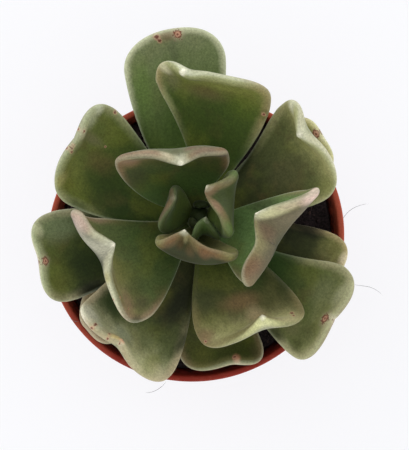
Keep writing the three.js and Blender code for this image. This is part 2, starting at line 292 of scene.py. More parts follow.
def mesh_piece(name, points, faces, paint, slot, replaced=(), values=None, merge=1e-7):
    """An object at the origin, with its place in its mesh: points in millimetres, faces as rows of point
    numbers, and values as named numbers for each point. Points that meet are merged, and faces that shrink to
    a line go. It rides on the root body."""
    mesh = bpy.data.meshes.new(name)
    mesh.from_pydata(np.asarray(points).reshape(-1, 3) * METRE, [], np.asarray(faces).tolist())
    for key, numbers in (values or {}).items():
        attribute = mesh.attributes.new(key, "FLOAT", "POINT")
        attribute.data.foreach_set("value", np.ravel(numbers).astype(np.float32))
    work = bmesh.new()
    work.from_mesh(mesh)
    bmesh.ops.remove_doubles(work, verts=work.verts, dist=merge)
    bmesh.ops.dissolve_degenerate(work, edges=work.edges, dist=merge)
    if work.calc_volume(signed=True) < 0:
        bmesh.ops.reverse_faces(work, faces=work.faces)
    work.to_mesh(mesh)
    work.free()
    mesh.polygons.foreach_set("use_smooth", np.ones(len(mesh.polygons), bool))
    mesh.materials.append(paint.owner)
    piece = placed(name, mesh)
    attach(piece, "root")
    if replaced:
        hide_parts(*replaced)
    return piece


def wall_radius(z):
    """The radius of the pot's tapering outer wall at a height."""
    return mix(POT["foot"], POT["rim"] - COLLAR["step"], z / POT["height"])


collar_foot = POT["height"] - COLLAR["height"]
floor_top = DRAIN["lift"] + POT["floor"]
inner = POT["rim"] - POT["rim_width"]
pot_profile = rounded(
    [
        [0, 0],
        [DRAIN["ring"] - DRAIN["foot"], 0],
        [DRAIN["ring"] - DRAIN["top"], DRAIN["lift"]],
        [DRAIN["ring"] + DRAIN["top"], DRAIN["lift"]],
        [DRAIN["ring"] + DRAIN["foot"], 0],
        [POT["foot"], 0],
        [mix(POT["foot"], wall_radius(collar_foot), 0.5), collar_foot / 2],
        [wall_radius(collar_foot), collar_foot],
        [POT["rim"] - 0.3, collar_foot + 0.5],
        [POT["rim"], POT["height"]],
        [inner, POT["height"]],
        [wall_radius(collar_foot) - POT["wall"], collar_foot - 1],
        [wall_radius(floor_top) - POT["wall"], floor_top],
        [0, floor_top],
    ],
    radius=0.8,
)

pot_paint = new_paint("terracotta_plastic")
spot = pot_paint.millimetres()
x, y, z = pot_paint.parts(spot)
within = pot_paint.attribute("within")
clouds = pot_paint.noise(spot, 0.06, detail=3)
grain = pot_paint.noise(spot, 1.6, detail=3, rough=0.6)
dust = pot_paint.noise(spot, 0.35, detail=5, rough=0.7, shift=40)
plastic = pot_paint.mix(clouds.between(0.3, 0.7), srgb(126, 38, 27), srgb(136, 46, 35))
# Painted light: the plastic near the rim is painted paler as if lit, fading out towards the −y side.
painted_rim_light = (y + 50 * (clouds - 0.5)).between(-46, -12) * z.between(72, 89)
plastic = pot_paint.mix(painted_rim_light * 0.85, plastic, srgb(170, 82, 60))
plastic = pot_paint.mix(grain.between(0.3, 0.75) * 0.3, plastic, srgb(110, 34, 24))
worn_rim = z.between(88.6, 90) * dust.between(0.5, 0.62) * 0.15
plastic = pot_paint.mix(worn_rim, plastic, srgb(176, 98, 76))
soiled = within * z.between(89, 84) * dust.between(0.42, 0.6)
plastic = pot_paint.mix(soiled * 0.8, plastic, srgb(52, 32, 30))
pot_paint.shader(
    {
        "Base Color": plastic,
        "Roughness": 0.45 + 0.2 * dust,
        "Specular IOR Level": 0.12,
        "Normal": pot_paint.bump(grain, 0.05, 0.5),
    }
)

pot_points = turned(pot_profile, POT_SEGMENTS)
pot_radius, pot_height = np.hypot(pot_points[..., 0], pot_points[..., 1]), pot_points[..., 2]
outside = np.where(pot_height < collar_foot, wall_radius(pot_height), POT["rim"])
pot_faces = grid_faces(pot_points)
inside = {"within": ease(outside - pot_radius - 0.3)}
pot = mesh_piece("pot_shell", oval(pot_points), pot_faces, pot_paint, "pot_plastic", ["pot"], inside)

# The drain holes are cut with one round punch each, as the mould's pins leave them.
punches = bmesh.new()
for turn in np.arange(DRAIN["count"]) / DRAIN["count"] * 2 * np.pi:
    made = bmesh.ops.create_cone(
        punches,
        cap_ends=True,
        segments=32,
        radius1=DRAIN["radius"] * METRE,
        radius2=DRAIN["radius"] * METRE,
        depth=DRAIN["depth"] * METRE,
    )
    centre = DRAIN["ring"] * np.array([np.cos(turn), np.sin(turn), 0]) * METRE
    bmesh.ops.translate(punches, verts=made["verts"], vec=centre)
punch_mesh = bpy.data.meshes.new("punches")
punches.to_mesh(punch_mesh)
punches.free()
punch = placed("punches", punch_mesh)
cut = pot.modifiers.new("drain_holes", "BOOLEAN")
cut.operation = "DIFFERENCE"
cut.solver = "EXACT"
cut.object = punch
holed = bpy.data.meshes.new_from_object(pot.evaluated_get(bpy.context.evaluated_depsgraph_get()))
pot.modifiers.clear()
pot.data = holed
bpy.data.objects.remove(punch)

# The soil.
# Dark, damp peat up to 7 mm under the rim, in crumbs of up to 4 mm, with grey grit and pale root fibres.
SOIL = {"top": 83, "edge": 82.4, "mound": 0.8, "crumble": 0.8, "gap": 0.3, "rings": 90, "segments": 300}
PLANT = {"x": 1.5, "y": 7.6}  # the stem's axis
CRUMB = {"count": 1500, "radius": (0.2, 1.4), "gamma": (3, 0.16), "from_wall": 1.5}  # many are small
SEED = 11
NET = 64  # numbers each way in a net of lumps


def lumps(x, y, size, rng):
    """Smooth random heights from -1 to 1: random numbers on a square net of that size, eased between."""
    net = rng.uniform(-1, 1, (NET, NET))
    u, v = x / size + NET / 2, y / size + NET / 2
    i, j = np.floor(u).astype(int), np.floor(v).astype(int)
    s, t = ease(u - i), ease(v - j)
    i, j = i % (NET - 1), j % (NET - 1)
    return mix(mix(net[i, j], net[i + 1, j], s), mix(net[i, j + 1], net[i + 1, j + 1], s), t)


def soil_height(x, y):
    """How far the peat stands over its even height: low heaps, and a mound round the stem."""
    heaps = 0.7 * np.sin(0.21 * x + 1.1) * np.cos(0.17 * y - 0.4) + 0.35 * np.sin(0.53 * x - 0.31 * y)
    from_stem = np.hypot(x - PLANT["x"], y - PLANT["y"])
    return heaps + SOIL["mound"] * np.exp(-((from_stem / 14) ** 2))


rng = np.random.default_rng(SEED)
soil_bottom = floor_top + SOIL["gap"]
soil_edge = wall_radius(SOIL["top"]) - POT["wall"] - SOIL["gap"]
soil_foot = wall_radius(soil_bottom) - POT["wall"] - SOIL["gap"]
soil_profile = [[0, soil_bottom], [soil_foot, soil_bottom], [soil_edge, SOIL["edge"]]]
soil_profile += [[soil_edge * share, SOIL["top"]] for share in np.linspace(0.995, 0, SOIL["rings"])]
soil_points = turned(soil_profile, SOIL["segments"])
surface = soil_points[3:]  # without the profile's bottom, foot and edge
x, y = surface[..., 0], surface[..., 1]
calm = 1 - ease(np.hypot(x, y) / soil_edge) ** 6
crumble = 0.7 * lumps(x, y, 2.6, rng) + 0.45 * lumps(x, y, 1.2, rng) + 0.25 * lumps(x, y, 0.7, rng)
surface[..., 2] += calm**0.3 * soil_height(x, y) + crumble * SOIL["crumble"]

peat_paint = new_paint("dark_peat")
spot = peat_paint.millimetres()
tone = peat_paint.attribute("tone")
fine = peat_paint.noise(spot, 1.3, detail=5, rough=0.65)
peat = peat_paint.mix(fine.between(0.35, 0.7), srgb(26, 20, 22), srgb(60, 48, 50))
peat = peat_paint.mix(tone.between(0.3, 0.8), peat, srgb(78, 60, 56))
peat = peat_paint.mix(tone.between(0.9, 0.97), peat, srgb(150, 136, 138))
peat_paint.shader(
    {
        "Base Color": peat,
        "Roughness": 0.85,
        "Specular IOR Level": 0.25,
        "Normal": peat_paint.bump(fine, 0.3),
    }
)
soil_faces = grid_faces(soil_points)
tones = {"tone": np.zeros(soil_points.shape[:2])}
mesh_piece("peat", oval(soil_points), soil_faces, peat_paint, "potting_soil", ["soil"], tones)

# The crumbs are coarse balls, each pulled out of round by its own numbers.
ball = bmesh.new()
bmesh.ops.create_icosphere(ball, subdivisions=1, radius=1)
ball_points = np.array([v.co[:] for v in ball.verts])
ball_faces = np.array([[v.index for v in face.verts] for face in ball.faces])
ball.free()
count = CRUMB["count"]
turn = rng.uniform(0, 2 * np.pi, count)
out = (soil_edge - CRUMB["from_wall"]) * np.sqrt(rng.uniform(0.04, 1, count))
crumb_x, crumb_y = out * np.cos(turn), out * np.sin(turn)
crumb_z = SOIL["top"] + soil_height(crumb_x, crumb_y) * 0.8 + 0.2
size = rng.gamma(*CRUMB["gamma"], count).clip(*CRUMB["radius"])
rough = rng.uniform(0.6, 1.3, (count, len(ball_points), 1))
squash = rng.uniform(0.6, 1.2, (count, 1, 3))
crumb_points = ball_points * rough * squash * size[:, None, None]
crumb_points += np.stack([crumb_x, crumb_y, crumb_z], axis=-1)[:, None]
crumb_points = oval(crumb_points.reshape(-1, 3))
crumb_faces = ball_faces + (np.arange(count) * len(ball_points))[:, None, None]
crumb_faces = crumb_faces.reshape(-1, 3)
tones = {"tone": np.repeat(rng.uniform(0, 1, count) ** 1.6, len(ball_points))}
mesh_piece("peat_crumbs", crumb_points, crumb_faces, peat_paint, "potting_soil", values=tones, merge=0)

# Pale root fibres lie in the soil, and a few grey threads of lint hang from the leaves and the rim.
FIBRE = {
    "count": 90, "radius": 0.07, "steps": 12, "sides": 4, "length": (2, 7), "over_soil": (0.3, 0.9),
    "from_wall": 5,
}
FINE_MERGE = 2e-6  # metres between points of thin pieces that are made one
STRAYS = [  # each through four places, across and up as the camera sees them, with one height
    dict(height=86, places=[(51.4, 2.6), (53.4, 7.6), (57.0, 11.0), (62.6, 12.6)]),
    dict(height=92, places=[(56.2, -16.4), (60.0, -17.0), (63.4, -17.8), (67.2, -20.6)]),
    dict(height=88, places=[(-18.6, -55.6), (-15.4, -55.2), (-12.6, -53.6), (-10.8, -51.6)]),
    dict(height=91, places=[(-45.2, -28.6), (-44.2, -29.4), (-43.2, -29.8), (-42.0, -29.8)]),
]


def tubes(paths, radius):
    """Thin round tubes along paths, an array of [tube, step, x y z]: each step has a ring of points round the
    path's direction, whose radius falls to nothing at both ends as the square root of a sine."""
    steps, sides = paths.shape[1], FIBRE["sides"]
    ahead = np.gradient(paths, axis=1)
    ahead /= np.linalg.norm(ahead, axis=-1, keepdims=True)
    aside = np.cross(ahead, [0.31, 0.22, 0.92])
    aside /= np.linalg.norm(aside, axis=-1, keepdims=True)
    above = np.cross(ahead, aside)
    turn = np.arange(sides) / sides * 2 * np.pi
    ring = aside[:, :, None] * np.cos(turn)[:, None] + above[:, :, None] * np.sin(turn)[:, None]
    width = np.sqrt(np.sin(np.linspace(0, np.pi, steps)).clip(0, 1)) * radius
    points = paths[:, :, None] + ring * width[:, None, None]
    faces = grid_faces(points[0]) + (np.arange(len(paths)) * steps * sides)[:, None, None]
    return points.reshape(-1, 3), faces.reshape(-1, 4)


def curved(places):
    """A path through four places: the cubic Lagrange curve, with t going from 0 to 1."""
    t = np.linspace(0, 1, FIBRE["steps"])[:, None] * 3
    shares = [
        -(t - 1) * (t - 2) * (t - 3) / 6,
        t * (t - 2) * (t - 3) / 2,
        -t * (t - 1) * (t - 3) / 2,
        t * (t - 1) * (t - 2) / 6,
    ]
    return sum(share * np.array(place, float) for share, place in zip(shares, places))


lint_paint = new_paint("grey_lint")
lint_paint.shader({"Base Color": srgb(112, 116, 116), "Roughness": 0.8})
root_paint = new_paint("pale_root_fibre")
root_paint.shader({"Base Color": srgb(150, 128, 104), "Roughness": 0.8})
strays = [curved([(*place, stray["height"]) for place in stray["places"]]) for stray in STRAYS]
mesh_piece("lint", *tubes(np.array(strays), FIBRE["radius"]), lint_paint, "potting_soil", merge=FINE_MERGE)

count = FIBRE["count"]
turn = rng.uniform(0, 2 * np.pi, count)
out = (soil_edge - FIBRE["from_wall"]) * np.sqrt(rng.uniform(0.1, 1, count))
across = np.linspace(-0.5, 0.5, FIBRE["steps"]) * rng.uniform(*FIBRE["length"], (count, 1))
bend = rng.uniform(-0.3, 0.3, (count, 1)) * across**2
facing = rng.uniform(0, 2 * np.pi, (count, 1))
fibre_x = (out * np.cos(turn))[:, None] + across * np.cos(facing) - bend * np.sin(facing)
fibre_y = (out * np.sin(turn))[:, None] + across * np.sin(facing) + bend * np.cos(facing)
fibre_z = SOIL["top"] + 0.8 * soil_height(fibre_x, fibre_y) + rng.uniform(*FIBRE["over_soil"], (count, 1))
fibres = np.stack([fibre_x, fibre_y, fibre_z], axis=-1)
fibre_points, fibre_faces = tubes(fibres, FIBRE["radius"])
mesh_piece("root_fibres", oval(fibre_points), fibre_faces, root_paint, "potting_soil", merge=FINE_MERGE)

# The stem.
# A short, thick, pale brown stock that all the leaves grow from, with the scars of lost leaves round it, and
# a tap root that goes down into the peat.
STEM = {"radius": 6.5, "top_radius": 3.2, "height": 26, "buried": 26, "tip_radius": 2, "segments": 96}

stem_profile = rounded(
    [
        [0, -STEM["buried"]],
        [STEM["tip_radius"], -STEM["buried"]],
        [STEM["radius"], -3],
        [STEM["radius"], 0.3 * STEM["height"]],
        [mix(STEM["radius"], STEM["top_radius"], 0.3), 0.65 * STEM["height"]],
        [STEM["top_radius"], 0.92 * STEM["height"]],
        [0.5 * STEM["top_radius"], STEM["height"]],
        [0, STEM["height"]],
    ],
    radius=2.5,
    steps=6,
)
stem_points = turned(stem_profile, STEM["segments"])
turn = np.arange(STEM["segments"]) / STEM["segments"] * 2 * np.pi
ring_scars = 0.18 * np.sin(stem_points[..., 2] * 1.9 + 2 * np.sin(3 * turn))
stem_points[..., :2] *= 1 + ring_scars[..., None] / STEM["radius"] * (stem_points[..., 2:] > -STEM["buried"])
stem_points += [PLANT["x"], PLANT["y"], SOIL["top"]]

stem_paint = new_paint("succulent_stem")
spot = stem_paint.millimetres()
bark = stem_paint.noise(spot, 0.5, detail=5, rough=0.6)
low = stem_paint.mix(bark.between(0.35, 0.65), srgb(104, 96, 60), srgb(138, 128, 84))
young = stem_paint.mix(bark.between(0.35, 0.65), srgb(48, 62, 28), srgb(62, 76, 36))
colour = stem_paint.mix(stem_paint.parts(spot)[2].between(95, 103), low, young)
stem_paint.shader({"Base Color": colour, "Roughness": 0.75, "Normal": stem_paint.bump(bark, 0.3)})
mesh_piece("stem_stock", stem_points, grid_faces(stem_points), stem_paint, "stem_bark", ["stem"])

# The leaves.
# Twenty leaves and the bud at the crown. Each is a thick, waxy fan that widens from a narrow foot and folds
# up at its far end, so that its small pale point turns back towards the heart.

# Azimuth, slopes and curls are in degrees. The midrib starts at a rise over the soil and bends from slope to
# tip_slope. Reach is its length to the fold, and front the length beyond it. Pairs are for the left and the
# right side, as seen from the stem: half is half the width, corner is the share by which a corner is drawn
# out, a taper above 1 keeps a side narrow for longer, and side_curl is the curl at the corner. Skew and sweep
# push the fold out on one side or on both, and cup lifts the sides. The point has its place beside the
# midrib, a length by which it is drawn out and a curl of its own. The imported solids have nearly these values.
PLAIN_LEAF = dict(
    corner=(0.05, 0.05), taper=(1, 1), skew=0, sweep=0, side_curl=(15, 15), cup=3, point=(0, 0, 10),
    thick=1, root=3.3,
)
LEAVES = dict(
    leaf_outer_1=dict(
        azimuth=-21.5, rise=3.6, slope=7, tip_slope=4, reach=40.8, front=12, half=(12, 12.8), curl=30,
        cup=2,
    ),
    leaf_outer_2=dict(
        azimuth=32.5, rise=5.1, slope=8, tip_slope=7, reach=39.5, front=12, half=(12, 12), corner=(0.05, 0),
        curl=30, cup=2,
    ),
    leaf_outer_3=dict(
        azimuth=98, rise=5.4, slope=10, tip_slope=4, reach=52.4, front=14, half=(19.6, 17),
        corner=(-0.07, -0.04), taper=(0.62, 1), curl=30, side_curl=(15, 10), point=(0, 0.01, 0),
    ),
    leaf_outer_4=dict(
        azimuth=194, rise=7.1, slope=7, tip_slope=4, reach=45.2, front=14, half=(17.4, 14.6),
        corner=(0.1, 0.05), curl=50, side_curl=(20, 20),
    ),
    leaf_outer_5=dict(
        azimuth=223.5, rise=3.4, slope=2.5, tip_slope=3, reach=44, front=12, half=(12, 9),
        corner=(0.05, -0.15), curl=40, cup=2,
    ),
    leaf_outer_6=dict(
        azimuth=-79, rise=3.7, slope=5, tip_slope=2, reach=39.2, front=14, half=(12, 17),
        corner=(0.26, 0.05), curl=50, side_curl=(40, 20), cup=2, point=(3, 0, 10),
    ),
    leaf_middle_1=dict(
        azimuth=-38, rise=7.8, slope=12, tip_slope=6, reach=48.4, front=13, half=(17.7, 18.3),
        corner=(0.01, 0.1), taper=(2.3, 1), skew=-0.06, curl=70, side_curl=(55, 45), point=(1, -1, 10),
    ),
    leaf_middle_2=dict(
        azimuth=37, rise=9.2, slope=16, tip_slope=8, reach=41, front=12, half=(14, 22),
        corner=(0.12, -0.08), taper=(2.1, 0.85), skew=0.1, curl=95, side_curl=(70, 58), point=(2, 1.2, 38),
    ),
    leaf_middle_3=dict(
        azimuth=85, rise=11.9, slope=20, tip_slope=10, reach=41, front=12, half=(19.6, 20.4),
        corner=(0.06, 0.18), taper=(2.4, 1.05), skew=0.2, curl=76, side_curl=(35, 45), point=(9, 2, 32),
    ),
    leaf_middle_4=dict(
        azimuth=150, rise=9.8, slope=14, tip_slope=6, reach=42.2, front=12, half=(19.5, 18),
        corner=(-0.1, 0.05), taper=(0.62, 1.4), curl=75, side_curl=(45, 50), point=(-2.5, -1, 15),
    ),
    leaf_middle_5=dict(
        azimuth=232, rise=10.2, slope=12, tip_slope=6, reach=44.2, front=12, half=(26.3, 12.8),
        corner=(0.05, 0.2), skew=0.115, sweep=-0.055, curl=75, side_curl=(30, 80), point=(5, 1, 35),
    ),
    leaf_upper_1=dict(
        azimuth=-66, rise=13.2, slope=18, tip_slope=12, reach=36.6, front=12, half=(20, 17.6),
        corner=(0.06, 0.08), skew=0.17, curl=86, side_curl=(90, 40), point=(5, 2, 38),
    ),
    leaf_upper_2=dict(
        azimuth=207, rise=15, slope=28, tip_slope=20, reach=32, front=13, half=(23, 16.2),
        corner=(0.08, 0.6), taper=(1, 1.7), skew=-0.06, sweep=0.06, curl=82, side_curl=(40, 88),
        point=(-4, 2, 42),
    ),
    leaf_upper_3=dict(
        azimuth=-20, rise=15.8, slope=42, tip_slope=36, reach=28, front=15, half=(20.2, 15.8),
        corner=(0.3, 0.2), taper=(1.35, 1.1), skew=0.27, sweep=0.13, curl=125, side_curl=(78, 117),
        point=(6.4, 3.2, 55),
    ),
    leaf_upper_4=dict(
        azimuth=110, rise=15.7, slope=44, tip_slope=40, reach=25, front=13, half=(21.2, 16.4),
        corner=(0.04, 0.1), taper=(0.62, 1), skew=0.33, curl=77, side_curl=(72, 100), point=(0, 0.5, 40),
    ),
    leaf_heart_1=dict(
        azimuth=-7, rise=20.3, slope=67, tip_slope=68, reach=15, front=12, half=(17.2, 6),
        corner=(0.1, 0.1), taper=(1, 3), curl=40, side_curl=(14, 1), cup=0, point=(8.2, 3.5, 80), thick=1.4,
        root=2.2,
    ),
    leaf_heart_2=dict(
        azimuth=165, rise=18, slope=61, tip_slope=63, reach=15, front=9, half=(8.6, 8.5), curl=15,
        side_curl=(5, 10), cup=0, point=(-3.7, 1, 35), root=2.2,
    ),
    leaf_heart_3=dict(
        azimuth=-100, rise=18, slope=54, tip_slope=64, reach=20, front=13, half=(15, 13.5), curl=85,
        side_curl=(60, 60), cup=5, point=(-4, 2, 45),
    ),
    leaf_heart_4=dict(
        azimuth=-82, rise=22, slope=79, tip_slope=79, reach=11, front=8, half=(5.9, 4.2), curl=30,
        side_curl=(5, 1), cup=-4, point=(1.7, 2, 45), root=1.3,
    ),
    leaf_heart_5=dict(
        azimuth=90, rise=17.4, slope=74, tip_slope=76, reach=8, front=5, half=(2.3, 3.4), curl=30,
        side_curl=(10, 10), cup=1, point=(0, 1, 20), thick=0.75, root=1.4,
    ),
    bud=dict(
        azimuth=222, rise=23, slope=80, tip_slope=88, reach=6, front=3, half=(2, 2), curl=50, cup=1, root=2,
    ),
)
BLADE = {
    "thickness": 4.1, "edge_thickness": 3.1, "grown_reach": 35, "rounding": 2.4, "upper_share": 0.42,
    "boxiness": 2.6, "point_spread": 9, "point_width": 6, "start": 2.5, "step": 0.05,
}
FINE = {"base": 6, "side": 36, "front": 44, "inner": 18, "edge": 8, "even": 5}


def outline(leaf):
    """The flat leaf's outline, as stations that each leave the midline at a place and run straight out to the
    margin: a half-round cap at the root, sides that widen as t ** taper * (1.25 - 0.25 t t), and beyond the
    fold a superellipse that is drawn out at its corners and at the leaf's point. Where sides and front meet,
    a moving mean of the lengths rounds the outline off."""
    root, power = leaf["root"], BLADE["boxiness"]
    point, point_out = leaf["point"][:2]
    half = leaf["half"][0 if point > 0 else 1]
    straight = leaf["front"] * (1 - abs(point / half) ** power) ** (1 / power)
    point_angle = np.degrees(np.arctan2(point, straight))
    t = np.linspace(0, 1, FINE["front"] + 1)
    crowd = (t + np.sin(t * np.pi / 2)) / 2
    angle = np.concatenate([mix(90, point_angle, crowd), mix(-90, point_angle, crowd)[-2::-1]])
    half = np.where(angle >= 0, *leaf["half"])
    corner = np.where(angle >= 0, *leaf["corner"])
    c = np.abs(np.cos(np.radians(angle))) / leaf["front"]
    s = np.abs(np.sin(np.radians(angle))) / half
    front = (c**power + s**power) ** (-1 / power) * (1 + corner * np.sin(2 * np.arctan2(s, c)) ** 2)
    front += point_out * np.exp(-np.abs(angle - point_angle) / BLADE["point_spread"])
    t = np.arange(1, FINE["side"]) / FINE["side"]
    left, right = [
        mix(root, side, t**taper * (1.25 - 0.25 * t**2)) for side, taper in zip(leaf["half"], leaf["taper"])
    ]
    place = mix(root, leaf["reach"], t)
    cap = np.linspace(180, 90, FINE["base"] + 1)
    cap_length = np.full(cap.size, root)
    fold = np.full(angle.size, leaf["reach"])
    across = np.full(place.size, 90)
    start = np.concatenate([cap_length, place, fold, place[::-1], cap_length[1:]])
    turn = np.concatenate([cap, across, angle, -across, -cap[:0:-1]])
    length = np.concatenate([cap_length, left, front, right[::-1], cap_length[1:]])
    reach = FINE["even"]
    window = np.hanning(2 * reach + 3)[1:-1] / (reach + 1)
    evened = np.convolve(np.pad(length, reach, mode="edge"), window, "valid")
    corners = cap.size + place.size + np.array([0, angle.size - 1])
    off = np.abs(np.arange(length.size)[:, None] - corners).min(axis=1)
    return start, np.radians(turn), mix(length, evened, 1 - ease((off - reach / 2) / reach))


def middle(leaf, a, b):
    """The leaf's middle surface, for the distances along the flat leaf and to the left of its axis. Beyond
    the fold the front turns up on an arc whose angle changes from the axis to the corners. The midrib itself
    is an arc from one slope to another."""
    point, _, point_curl = leaf["point"]
    side = np.minimum(1.2, np.abs(b) / np.where(b > 0, *leaf["half"]))
    off = (b - point) / BLADE["point_width"]
    curl = mix(leaf["curl"], np.where(b > 0, *leaf["side_curl"]), side**2) + point_curl * np.exp(-off * off)
    bend = leaf["front"] / np.radians(curl)
    turn = np.maximum(0, a - leaf["reach"]) / bend
    spread = ease(a / leaf["reach"])
    up = bend * (1 - np.cos(turn)) + leaf["cup"] * side**2 * spread
    swept = leaf["skew"] * b + leaf["sweep"] * np.abs(b)
    along = np.minimum(a, leaf["reach"]) + bend * np.sin(turn) + swept * spread
    total = leaf["reach"] + leaf["front"]
    start, end = np.radians(leaf["slope"]), np.radians(leaf["tip_slope"]) + 1e-4
    slope = mix(start, end, along / total)
    arc = total / (end - start)
    x = BLADE["start"] + arc * (np.sin(slope) - np.sin(start)) - up * np.sin(slope)
    z = leaf["rise"] + arc * (np.cos(start) - np.cos(slope)) + up * np.cos(slope)
    azimuth = np.radians(leaf["azimuth"])
    c, s = np.cos(azimuth), np.sin(azimuth)
    return np.stack([x * c - b * s, x * s + b * c, z], axis=-1) + [PLANT["x"], PLANT["y"], SOIL["top"]]


def blade(leaf):
    """A leaf's closed skin as a grid of points, with each point's place on the flat leaf and the place of its
    tip: rings of points from the midline to the margin on the upper face and back on the lower one. The faces
    stand off the middle surface along its normal, and run together over a rounded margin as sine and cosine.
    The tip is the outline's middle station."""
    start, angle, length = outline(leaf)
    young = leaf["thick"] * mix(0.55, 1, min(1, leaf["reach"] / BLADE["grown_reach"]))
    inner = np.arange(FINE["inner"]) / FINE["inner"]
    edge = np.arange(FINE["edge"] + 1) / FINE["edge"]
    share = np.concatenate([inner, np.ones(2 * FINE["edge"] + 1), inner[::-1]])[:, None]
    edge = np.concatenate([0 * inner, edge, edge[-2::-1], 0 * inner])[:, None] * np.pi / 2
    upper = np.arange(len(share))[:, None] <= len(inner) + FINE["edge"]
    soft = np.minimum(BLADE["rounding"] * young, 0.7 * length)
    d = (length - soft) * share + soft * np.sin(edge)
    thick = young * mix(BLADE["thickness"], BLADE["edge_thickness"], (d / length) ** 2) * np.cos(edge)
    lift = np.where(upper, thick * BLADE["upper_share"], -thick * (1 - BLADE["upper_share"]))
    a, b = start + d * np.cos(angle), d * np.sin(angle)
    step = BLADE["step"]
    ahead = middle(leaf, a + step, b) - middle(leaf, a - step, b)
    aside = middle(leaf, a, b + step) - middle(leaf, a, b - step)
    normal = np.cross(ahead, aside)
    normal /= np.linalg.norm(normal, axis=-1, keepdims=True)
    points = middle(leaf, a, b) + normal * lift[..., None]
    face = 0.5 + np.where(upper, 0.5, -0.5) * np.cos(edge)
    values = {"along": a, "aside": b, "inset": length - d, "upper": face + 0 * a}
    k = FINE["base"] + FINE["side"] + FINE["front"]
    tip = float(start[k] + length[k] * np.cos(angle[k])), float(length[k] * np.sin(angle[k]))
    return points, values, tip


# A leaf's colours, as a picture gives them: deep near the root, green at the fold and light beyond it, and
# lip on the face's front margin. On the back, band follows that margin from the point, arm comes next and
# lobe is at the two corners, and back lies further in. The pale lip and band, and the glow and the pale tip
# at the point, are partly the leaf's own pale margin and partly painted highlight, where the rounded margin,
# the fold and the point catch the light. Shares go from 0 to 1, and widths are in millimetres.
# A patch on the face or on the back is a soft-edged area of another colour: its place along and beside the
# leaf's axis, its radius each way, its colour and its share. Some patches are painted shadow or painted
# highlight. A mark is an old scar: its kind, its place and its radius. Its coats go from the outside in, each
# with a tint, the shares of the radius at which it starts and is full, and its own share.
PLAIN_LOOK = dict(
    deep=(46, 58, 22), green=(70, 82, 34), light=(98, 104, 54), lip=(160, 162, 120), lip_width=4,
    lip_share=0.8, side_share=0.25, band=(182, 178, 148), band_width=4, arm=(156, 118, 96), arm_share=0,
    back=(90, 96, 62), glow_width=4.5, lobe=(150, 122, 100), lobe_share=0.4, brown_share=0.3,
    yellow_share=0.35, tip_share=0.8, tip_width=1.7, on_face=(), on_back=(), marks=(),
)
TINTS = {
    "brown": (88, 74, 42), "yellow": (92, 98, 34), "wax": (176, 184, 156), "tip": (232, 228, 206),
    "glow": (206, 208, 184), "scar": (98, 50, 40), "scab": (194, 150, 122), "sore": (108, 52, 40),
    "halo": (196, 180, 150),
}
COATS = {
    "ring": [
        ("halo", 2.0, 1.0, 0.3), ("sore", 1.1, 0.85, 0.9),
        ("scab", 0.75, 0.5, 0.85), ("scar", 0.35, 0.15, 0.8),
    ],
    "scar": [("scab", 1.7, 1.0, 0.5), ("scar", 1.0, 0.5, 0.9)],
}
